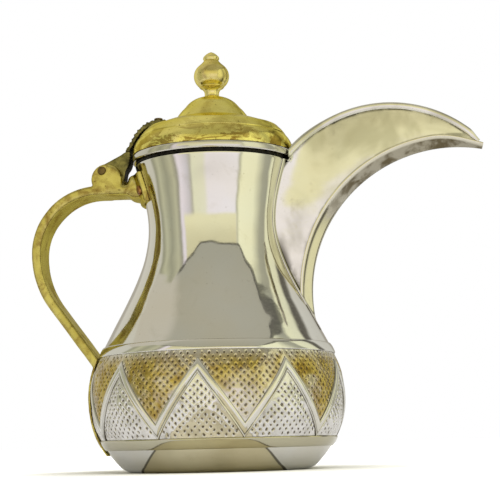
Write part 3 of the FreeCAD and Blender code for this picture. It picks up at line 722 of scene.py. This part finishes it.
def edge_radius(degrees):
    # The cheek's lower edge comes down to the keel's ridge near the tip
    drop, drop_from, drop_to = 4.6, 98.0, keel_tip - 4.0
    return keel_edge - drop * smooth_step(drop_from, drop_to, degrees)


def low_edge(u):
    lap = 0.3
    degrees = lerp(low_start, low_end, u)
    return on_ring(keel_x, keel_z, edge_radius(degrees) - lap, degrees)


def top_edge(u, rise):
    # A point on the top edge's ring, which bends down to the tip at its end
    droop, droop_from = 1.6, 0.93
    radius = top_radius + rise - droop * smooth_step(droop_from, 1.0, u)
    return on_ring(top_x, top_z, radius, lerp(top_start, top_end, u))


def top_lean(u):
    # How far the cheek's top edge stands in from its flat plane
    lean, full_lean_at = 0.085, 0.3
    low, up = low_edge(u), top_edge(u, 0.0)
    return lean * math.hypot(up[0] - low[0], up[1] - low[1]) * smooth_step(0.0, full_lean_at, u)


def cheek_place(side):
    # The cheek's outer face: v goes from its lower edge up to the bead, u from the neck to the tip
    swell_share, dent, dent_size, side_shift = 0.24, 0.32, 17.0, 40.0
    least_width, lid_gap = 0.9, 0.8
    rise = -0.6 * bead_width
    low_z, high_z = low_edge(0.0)[1], top_edge(0.0, rise)[1]
    low_x, high_x = root_point(low_z).x, root_point(high_z).x

    def place(u, v):
        low, up = low_edge(u), top_edge(u, rise)
        root = root_point(lerp(low_z, high_z, v))
        x = lerp(low[0], up[0], v) + (root.x - lerp(low_x, high_x, v)) * (1.0 - u) ** 2
        z = lerp(low[1], up[1], v)
        swell = swell_share * top_lean(u) * math.sin(math.pi * v)
        dents = dent * noise.noise(Vector((x, side_shift * side, z)) / dent_size) * math.sin(math.pi * v)
        y = max(cheek_width(x, z) + swell + dents - top_lean(u) * v, least_width)
        return clear_of_body(Vector((x, side * y, z)), lid_gap)

    return place


def cheek_shade(point):
    # Painted shade in the creases under the bead and over the keel, and low at the root by the neck
    bead_reach, keel_reach, keel_share = (1.3, 0.2), (1.6, 0.6), 0.6
    root_reach, root_heights = (6.0, 0.5), (158.0, 140.0)
    x, y, z = point
    under_bead = top_radius - bead_width - math.hypot(x - top_x, z - top_z)
    over_keel = math.hypot(x - keel_x, z - keel_z) - keel_edge
    off_neck = math.hypot(x, y) - body_radius(min(z, rim_height))
    crease = smooth_step(*bead_reach, under_bead) + keel_share * smooth_step(*keel_reach, over_keel)
    root = smooth_step(*root_reach, off_neck) * smooth_step(*root_heights, z)
    return min(1.0, crease + root)


def build_cheek(node, side):
    sheet_thickness = 1.4
    bm = shaded(strip(90, 36, cheek_place(side), closed=False), cheek_shade)
    for face in bm.faces:
        if face.normal.y * side < 0:
            face.normal_flip()
    piece = keep(node, bm, "pot", cheek_silver, sharp=60.0)
    sheet = piece.modifiers.new("sheet", "SOLIDIFY")
    sheet.thickness = sheet_thickness * MM
    sheet.offset = -1.0
    sheet.use_even_offset = False


def build_bead(node, side):
    # Round the bead: out from the cheek, and up from the top edge
    section = [
        (-1.5, -4.3), (-1.5, -2.0), (-1.4, -0.4), (-0.9, 0.0), (0.2, 0.1), (0.9, -0.25), (1.25, -1.0),
        (1.35, -2.1), (1.25, -3.3), (0.9, -4.1), (0.4, -4.45), (-0.6, -4.5), (-1.5, -4.3),
    ]
    thinning, thins_from, least_width = 0.45, 0.94, 0.15

    def place(u, v):
        out, rise = along(section, v)
        slim = 1.0 - thinning * smooth_step(thins_from, 1.0, u)
        x, z = top_edge(u, slim * rise)
        y = max(cheek_width(x, z) - top_lean(u) + slim * out, least_width)
        return clear_of_body(Vector((x, side * y, z)))

    bm = strip(96, len(section) - 1, place)
    keep(node, bm, "pot", cheek_silver, sharp=50.0)


def keel_section(degrees):
    # Points (sideways, out from the keel's ring): a bead at each edge and a folded strip between
    depth, bead_foot = 7.5, 1.45
    x, z = on_ring(keel_x, keel_z, keel_edge, degrees)
    half = cheek_width(x, z)
    rim = edge_radius(degrees) - keel_edge
    bead = [(-0.9, 0.35), (0.1, 0.75), (0.85, 0.45), (1.05, -0.35), (0.65, -1.1), (-0.05, -bead_foot)]
    outer = [(half + y, rim + rise) for y, rise in bead]
    drop = depth + rim - bead_foot
    for share, fall in ((0.82, 0.12), (0.62, 0.36), (0.42, 0.6), (0.24, 0.82), (0.1, 0.95), (0.0, 1.0)):
        outer.append((share * half, rim - bead_foot - fall * drop))
    inner = [(half - 2.2, rim - 0.6), (0.4 * half, rim - 0.5 * drop), (0.0, rim - 0.75 * drop)]
    whole = outer + [(-y, rise) for y, rise in outer[-2::-1]]
    whole += [(-y, rise) for y, rise in inner] + inner[-2::-1]
    return whole + whole[:1]


def build_keel():
    foot, tip = keel_foot + 1.0, keel_tip - 1.5
    shade_edge, shade_heights = 0.9, (150.0, 190.0)

    def place(u, v):
        degrees = lerp(foot, tip, u)
        y, rise = along(keel_section(degrees), v)
        x, z = on_ring(keel_x, keel_z, keel_edge + rise, degrees)
        return clear_of_body(Vector((x, y, z)))

    # Painted shade on the folded strip between the keel's beads, more of it higher up towards the tip
    def shade_and_grime(point):
        in_from_edge = cheek_width(point.x, point.z) - abs(point.y)
        return smooth_step(0.0, shade_edge, in_from_edge) * smooth_step(*shade_heights, point.z)

    bm = shaded(strip(120, len(keel_section(keel_tip)) - 1, place), shade_and_grime)
    keep("spout_keel", bm, "pot", keel_silver, sharp=50.0)


def root_strip(side):
    # One strip on the neck beside a cheek. Its section: further round the neck, and out from it
    section = [(0.2, 0.15), (0.3, 0.7), (0.8, 1.0), (1.6, 1.05), (2.4, 0.9), (2.9, 0.55), (3.0, 0.12)]
    low_z = on_ring(keel_x, keel_z, keel_edge, keel_foot - 8.0)[1]
    high_z = rim_height - 0.8

    def place(u, v):
        extra, proud = along(section + section[:1], v)
        z = lerp(low_z, high_z, u)
        spot = root_point(min(z, lid_room_z), extra)
        point = on_body(turn_of(spot), z, proud)
        return Vector((point.x, side * point.y, point.z))

    return strip(70, len(section), place)


def build_root_strips():
    bm = root_strip(1.0)
    other = root_strip(-1.0)
    mesh = bpy.data.meshes.new("other_strip")
    other.to_mesh(mesh)
    other.free()
    bm.from_mesh(mesh)
    bpy.data.meshes.remove(mesh)
    keep("spout_root_strips", bm, "pot", trim_silver, name="spout_root_piece")


# Handle and hinge

def build_handle():
    # The CAD handle cast in one skin, softened most where the strip runs into the saddle
    root_end, root_low, saddle_radius, root_passes = -72.0, 168.0, 53.5, 40
    broad, broad_size, fine, fine_size = 0.16, 14.0, 0.05, 3.5
    bm = cad_copy("handle", voxel=0.62, passes=4)
    root = []
    for vert in bm.verts:
        x, y, z = vert.co
        if x > root_end and z > root_low and math.hypot(x, y) > saddle_radius:
            root.append(vert)
    for _ in range(root_passes):
        soften_points(bm, root, 0.5)
    bm.normal_update()
    for vert in bm.verts:
        place = vert.co.copy()
        uneven = broad * noise.noise(place / broad_size) + fine * noise.noise(place / fine_size)
        vert.co = place + vert.normal * uneven
    keep("handle", bm, "pot", handle_brass, sharp=180.0)


def cast_lobes(place, run):
    # Height of the cast pattern: wandering rows of lobes, and a rough grain
    row, lobe = 3.6, 7.0
    wander = 2.6 * noise.noise(place / 4.0)
    ridge = math.cos(math.tau * run / row + wander + 1.3 * math.cos(math.tau * place.y / lobe))
    return 0.5 * ridge + 1.3 * noise.noise(place / 1.4)


def build_strap():
    # A smooth arm at the pin, filled in at the lid's band, and a leaf cast in lobes over the lid
    hub, hub_radius = Vector((-22.0, 0.0, 206.0)), 34.0
    leaf_heights, band_low, band_high = (214.0, 218.0), (202.0, 207.0), (218.0, 212.0)
    lobe_height, lobe_sink, filling = 0.65, 0.1, 1.9
    bm = cad_copy("hinge_strap", voxel=0.4, passes=3)
    hollow_and_shade = bm.verts.layers.float.new("hollow_and_shade")
    for vert in bm.verts:
        place = vert.co.copy()
        from_hub = place - hub
        height = cast_lobes(place, math.atan2(from_hub.z, -from_hub.x) * hub_radius)
        facing = max(0.0, vert.normal.dot(Vector((from_hub.x, 0.0, from_hub.z)).normalized()))
        share = smooth_step(*leaf_heights, place.z) * lerp(0.35, 1.0, facing)
        # Painted shade: faces turned in to the lid are marked black, as the gap there lies in shadow
        lid_side_shade = smooth_step(0.35, 0.75, vert.normal.x - 0.5 * max(0.0, vert.normal.z))
        vert[hollow_and_shade] = max(lid_side_shade, share * min(1.0, max(0.0, 0.2 - 1.3 * height)))
        vert.co = place + vert.normal * share * (lobe_height * height - lobe_sink)
        at_band = smooth_step(*band_low, place.z) * smooth_step(*band_high, place.z)
        vert.co.x += filling * at_band * smooth_step(0.3, 0.7, vert.normal.x)
    soften_points(bm, bm.verts, 0.4)
    keep("hinge_strap", bm, "lid", strap_brass, sharp=180.0)


# Lid

hoop_seat = lid_radius - 1.2


def build_lid_dome():
    # Up the outside by the groove, the ledge and the crown to the boss, and down the inside
    low = lid_bottom + 0.1
    outer = [(hoop_seat, low), (hoop_seat, 211.55), (lid_radius - 0.3, 211.65)]
    outer += arc((lid_radius - 0.1, 211.9), (54.0, 217.3), (50.9, 222.8), 16)
    outer += [(50.65, 223.1), (50.2, 223.2), (49.95, 223.5), (50.1, 223.95), (49.95, 224.2)]
    outer += arc((49.85, 224.4), (48.3, 226.6), (45.6, 229.2), 10)
    outer += [(45.5, 229.5), (45.2, 229.85), (44.75, 229.95), (44.35, 229.8), (44.1, 229.6)]
    outer += [(43.8, 229.85), (43.4, 230.15)]
    outer += arc((43.0, 230.35), (35.0, 233.55), (27.0, 236.2), 12)
    outer += [(26.7, 236.2), (26.4, 236.0), (26.1, 236.3), (25.8, 236.55), (25.5, 236.4), (25.3, 236.7)]
    outer += arc((25.0, 237.2), (22.55, 240.9), (19.6, 244.2), 6)
    outer += arc((18.3, 245.6), (14.2, 249.6), (9.0, 252.0), 10)
    outer += [(7.6, 252.35), (6.6, 252.45), (6.6, lid_top), (2.65, lid_top)]
    inner = [(2.65, 249.9), (8.0, 249.9)]
    inner += arc((8.2, 249.8), (16.2, 244.0), (24.0, 235.2), 8)
    inner += arc((24.0, 235.0), (34.0, 232.1), (43.8, 228.1), 8)
    inner += arc((43.9, 228.0), (46.9, 225.2), (48.6, 221.8), 6)
    inner += arc((49.3, 221.4), (52.5, 216.0), (53.2, 212.0), 6)[:5]
    inner += [(52.2, 211.0), (52.2, low)]
    bm = spun(outer + inner, steps=240)
    keep("lid_dome", bm, "lid", lid_brass, sharp=35.0)


def build_lid_band():
    hoop = [
        (53.7, lid_bottom), (54.35, lid_bottom - 0.02), (54.75, 207.3), (54.98, 208.1), (55.05, 209.2),
        (54.98, 210.4), (54.75, 211.15), (54.35, 211.48), (53.7, 211.5),
    ]
    keep("lid_band", spun(hoop, steps=240), "lid", trim_silver)


def build_lid_skirt():
    # A spigot in the neck's mouth, a flange on the rim and a collar in the dome, near black as painted shade
    # in the gap under the lid
    spigot_low, thick, spigot_gap, collar_inset = 198.0, 1.5, 0.6, 1.5
    spigot = body_radius(spigot_low) - wall - spigot_gap
    collar = hoop_seat - collar_inset
    outline = [
        (spigot - thick, 198.3), (spigot - 1.2, spigot_low), (spigot - 0.3, spigot_low), (spigot, 198.3),
        (spigot, rim_height), (52.4, rim_height), (52.6, 205.2), (52.6, 206.8), (52.4, lid_bottom),
        (collar, lid_bottom), (collar, 212.8), (collar - 0.2, 213.0), (collar - 1.3, 213.0),
        (collar - thick, 212.8), (collar - thick, lid_bottom), (spigot - thick, lid_bottom),
    ]
    bm = spun(outline, steps=160)
    keep("lid_skirt", bm, "lid", skirt_shade_black, sharp=30.0)


def build_finial():
    # The stud, the foot and its neck, the ball with a turned line under it, and the small tip
    def at(radius, height):
        return radius, lid_top + height

    outline = [at(0.0, -9.0), at(2.2, -9.0), at(2.5, -8.7), at(2.5, 0.0), at(6.2, 0.02), at(6.3, 0.9)]
    outline += arc(at(5.9, 1.3), at(5.2, 2.2), at(4.9, 3.6), 8)
    outline += arc(at(4.9, 4.0), at(5.6, 6.2), at(7.4, 7.9), 8)
    outline += [at(7.8, 8.0), at(8.1, 8.2), at(8.0, 8.5), at(8.2, 8.75), at(8.6, 8.85), at(8.6, 9.15)]
    outline += arc(at(9.0, 9.5), at(12.1, 16.4), at(8.6, 23.6), 22)
    outline += arc(at(8.2, 24.0), at(6.4, 25.7), at(5.3, 27.0), 6)
    outline += [at(5.0, 27.5), at(5.2, 28.0)]
    outline += arc(at(5.5, 28.5), at(5.5, 29.5), at(4.9, 30.5), 6)
    outline += arc(at(4.7, 30.7), at(2.4, 32.6), at(0.0, 33.7), 8)
    bm = spun(outline, steps=128, closed=False)
    keep("finial", bm, "lid", finial_brass, sharp=35.0)


# Put together

build_base()
build_girdle("base_girdle", base_seam, girdle_silver)
build_girdle("shoulder_girdle", shoulder_seam, body_silver)
build_ground()
build_ribs()
build_neck()
build_cheek("spout_left_cheek", 1.0)
build_cheek("spout_right_cheek", -1.0)
build_bead("spout_left_bead", 1.0)
build_bead("spout_right_bead", -1.0)
build_keel()
build_root_strips()
build_handle()
build_strap()
build_lid_dome()
build_lid_band()
build_lid_skirt()
build_finial()

# Small fittings that keep the CAD's own shape
carried = {
    "handle_rivets": ("copper", rivet_copper),
    "handle_rivet_roves": ("copper", rivet_copper),
    "hinge_pin": ("dark_brass", pin_brass),
    "strap_rivets": ("dark_brass", pin_brass),
    "finial_washer": ("yellow_brass", finial_brass),
    "finial_nut": ("yellow_brass", finial_brass),
}
for node, (slot_name, finish) in carried.items():
    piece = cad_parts[node]
    piece.data.materials.clear()
    piece.data.materials.append(finish)


# Stage

def floor_finish():
    # White to the camera, with the pot's shadow near it. The metal shows a beige mat with dark edges
    white, table, edge_brown = (0.97, 0.97, 0.97), (0.88, 0.89, 0.96), (0.05, 0.045, 0.04)
    beige, deep_beige = (0.80, 0.75, 0.60), (0.64, 0.59, 0.45)
    mat_half, mat_soft, edge_full, edge_end = 45.5, 1.5, 0.6, 1.5
    shadow_full, shadow_end = 90.0, 220.0
    finish, tree, shader = new_finish("studio_floor")
    rays = add(tree, "ShaderNodeLightPath").outputs
    off = maths(tree, "ABSOLUTE", axis_of(tree, "X"))
    past_mat = band(tree, off, (mat_half - mat_soft) * MM, (mat_half + mat_soft) * MM)
    mat = mix(tree, band(tree, mottle(tree, 14.0), 0.35, 0.65), beige, deep_beige)
    shown = mix(tree, past_mat, mat, table)
    aside = maths(tree, "ABSOLUTE", maths(tree, "SUBTRACT", off, mat_half * MM))
    shown = mix(tree, band(tree, aside, edge_full * MM, edge_end * MM, 0.8, 0.0), shown, edge_brown)
    colour = mix(tree, rays["Is Glossy Ray"], white, shown)
    away = add(tree, "ShaderNodeVectorMath", {0: place_of(tree)}, operation="LENGTH").outputs["Value"]
    past_shadow = band(tree, away, shadow_full * MM, shadow_end * MM)
    glow = maths(tree, "MULTIPLY", past_shadow, rays["Is Camera Ray"])
    connect(tree, shader, Base_Color=colour, Roughness=0.9, Specular_IOR_Level=0.0)
    connect(tree, shader, Emission_Color=(1.0, 1.0, 1.0, 1.0), Emission_Strength=glow)
    return finish


def build_floor():
    # A near disc, and a far ring that the metal doesn't show
    near_edge, far_edge = 500.0, 9000.0
    finish = floor_finish()
    for name, inner, outer in (("floor_near", 0.0, near_edge), ("floor_far", near_edge, far_edge)):
        bm = spun([(inner, 0.0), (outer, 0.0)], steps=96, closed=False)
        bmesh.ops.scale(bm, vec=(MM,) * 3, verts=bm.verts)
        piece = mesh_object(name, bm)
        piece.data.materials.append(finish)
        if inner:
            piece.visible_glossy = False


def ray_angles(tree):
    # A ray's turn from the front in radians, and its rise as a share of a right angle
    way = add(tree, "ShaderNodeTexCoord").outputs["Generated"]
    parts = add(tree, "ShaderNodeSeparateXYZ", {"Vector": way}).outputs
    turn = maths(tree, "ARCTAN2", parts["X"], maths(tree, "MULTIPLY", parts["Y"], -1.0))
    rise = maths(tree, "DIVIDE", maths(tree, "ARCSINE", parts["Z"]), 0.5 * math.pi)
    return turn, rise


def ramp_round(tree, turn, stops):
    # Colours round the room, from pairs of a turn in degrees and a colour
    share = maths(tree, "ADD", maths(tree, "DIVIDE", turn, math.tau), 0.5)
    node = add(tree, "ShaderNodeValToRGB", {"Fac": share})
    elements = node.color_ramp.elements
    while len(elements) > 1:
        elements.remove(elements[-1])
    places = [(degrees / 360.0 + 0.5, (*colour, 1.0)) for degrees, colour in stops]
    elements[0].position, elements[0].color = places[0]
    for position, colour in places[1:]:
        elements.new(position).color = colour
    return node.outputs["Color"]


def wall_colours(tree, turn, rise):
    # Pale and dim stretches of wall, and a beige stretch higher up in front
    low_beige, high_beige = (1.06, 1.02, 0.68), (0.86, 0.81, 0.52)
    walls = ramp_round(tree, turn, [
        (-180, (0.45, 0.42, 0.36)), (-150, (0.50, 0.47, 0.40)), (-144, (0.76, 0.74, 0.66)),
        (-100, (0.76, 0.75, 0.66)), (-95, (0.40, 0.40, 0.29)), (-86, (0.66, 0.66, 0.47)),
        (-74, (0.44, 0.44, 0.32)), (-62, (0.66, 0.65, 0.46)), (-55, (0.44, 0.43, 0.33)),
        (-50, (1.08, 1.00, 1.08)), (-36, (0.80, 0.76, 0.80)), (-30, (0.62, 0.60, 0.50)),
        (-27, (1.02, 1.02, 0.76)), (-10, (1.04, 1.03, 0.82)), (-4, (1.12, 1.07, 1.12)),
        (43, (1.14, 1.10, 1.14)), (47, (0.62, 0.62, 0.45)), (51, (1.18, 1.18, 0.84)),
        (74, (1.12, 1.12, 0.80)), (90, (0.52, 0.52, 0.40)), (100, (0.46, 0.46, 0.36)),
        (104, (1.05, 1.05, 0.74)), (120, (0.95, 0.95, 0.70)), (124, (0.14, 0.13, 0.11)),
        (132, (0.18, 0.17, 0.14)), (137, (0.78, 0.77, 0.70)), (160, (0.66, 0.65, 0.58)),
        (166, (0.40, 0.37, 0.31)), (180, (0.45, 0.42, 0.36)),
    ])
    front = band(tree, maths(tree, "ABSOLUTE", turn), 0.76, 0.84, 1.0, 0.0)
    high = maths(tree, "MULTIPLY", front, band(tree, rise, 0.02, 0.07))
    return mix(tree, high, walls, mix(tree, band(tree, rise, 0.08, 0.36), low_beige, high_beige))


def ceiling_colours(tree, turn, rise):
    # Dim at its edge, lighter overhead and lightest to the left
    edge, overhead, left = (0.50, 0.49, 0.40), (0.60, 0.58, 0.49), (0.70, 0.67, 0.58)
    colour = mix(tree, band(tree, rise, 0.35, 1.0), edge, overhead)
    return mix(tree, band(tree, turn, -1.25, -0.95, 1.0, 0.0), colour, left)


def over_walls(tree, turn, rise):
    # How far a ray goes over the walls' top edge, whose rise is given in degrees round the room
    tops = [
        (-180, 38), (-140, 40), (-100, 34), (-73, 45), (-55, 43), (-32, 38), (-18, 32), (50, 32),
        (62, 40), (82, 49), (110, 44), (150, 36), (180, 38),
    ]
    edge = ramp_round(tree, turn, [(degrees, (top / 90.0,) * 3) for degrees, top in tops])
    return maths(tree, "SUBTRACT", rise, edge)


def seam_line(tree, turn, over):
    # The dark line along the walls' top edge: thicker to the right, and none to the far left
    thick = band(tree, turn, 0.75, 1.2, 0.010, 0.022)
    line = maths(tree, "LESS_THAN", maths(tree, "ABSOLUTE", over), thick)
    return maths(tree, "MULTIPLY", line, band(tree, turn, -1.15, -1.0, 0.0, 0.8))


def build_room():
    # White behind the pot, and in the metal plain studio walls under a ceiling
    seam_brown, low_grey, white = (0.08, 0.075, 0.065), (0.50, 0.48, 0.42), (1.0, 1.0, 1.0)
    world = bpy.data.worlds.new("studio_room")
    scene.world = world
    world.use_nodes = True
    tree = world.node_tree
    tree.nodes.clear()
    turn, rise = ray_angles(tree)
    over = over_walls(tree, turn, rise)
    walls, ceiling = wall_colours(tree, turn, rise), ceiling_colours(tree, turn, rise)
    room = mix(tree, band(tree, over, -0.006, 0.006), walls, ceiling)
    room = mix(tree, seam_line(tree, turn, over), room, seam_brown)
    low_wall = band(tree, rise, -0.35, -0.16, 1.0, 0.0)
    room = mix(tree, maths(tree, "MULTIPLY", low_wall, 0.6), room, low_grey)
    colour = mix(tree, add(tree, "ShaderNodeLightPath").outputs["Is Camera Ray"], room, white)
    light = add(tree, "ShaderNodeBackground", {"Color": colour, "Strength": 1.0})
    out = add(tree, "ShaderNodeOutputWorld")
    tree.links.new(light.outputs["Background"], out.inputs["Surface"])


def build_lamp(name, place, aim, size, power):
    # A round lamp. Its place, aim and size are in metres, and its power in watts
    lamp = bpy.data.lights.new(name, "AREA")
    lamp.shape = "DISK"
    lamp.size = size
    lamp.energy = power
    holder = bpy.data.objects.new(name, lamp)
    scene.collection.objects.link(holder)
    holder.location = place
    holder.rotation_euler = (Vector(aim) - Vector(place)).to_track_quat("-Z", "Y").to_euler()
    holder.visible_glossy = False


def build_camera():
    # Low in front of the pot, turned a little to the left and tilted up
    place = Vector((98.05, -932.86, 18.0))
    turn, tilt, roll = 4.561, 7.817, -1.4
    camera = bpy.data.cameras.new("camera")
    camera.sensor_width = 36.0
    camera.lens = 100.8
    camera.clip_start = 0.05
    holder = bpy.data.objects.new("camera", camera)
    scene.collection.objects.link(holder)
    turned = Matrix.Rotation(math.radians(turn), 4, "Z")
    turned @= Matrix.Rotation(math.radians(90.0 + tilt), 4, "X")
    turned @= Matrix.Rotation(math.radians(roll), 4, "Z")
    holder.matrix_world = Matrix.Translation(place * MM) @ turned
    scene.camera = holder


build_floor()
build_room()
build_lamp("top_lamp", place=(0.25, -0.5, 1.6), aim=(0.0, 0.0, 0.05), size=1.6, power=16.0)
build_camera()
scene.view_settings.view_transform = "Standard"
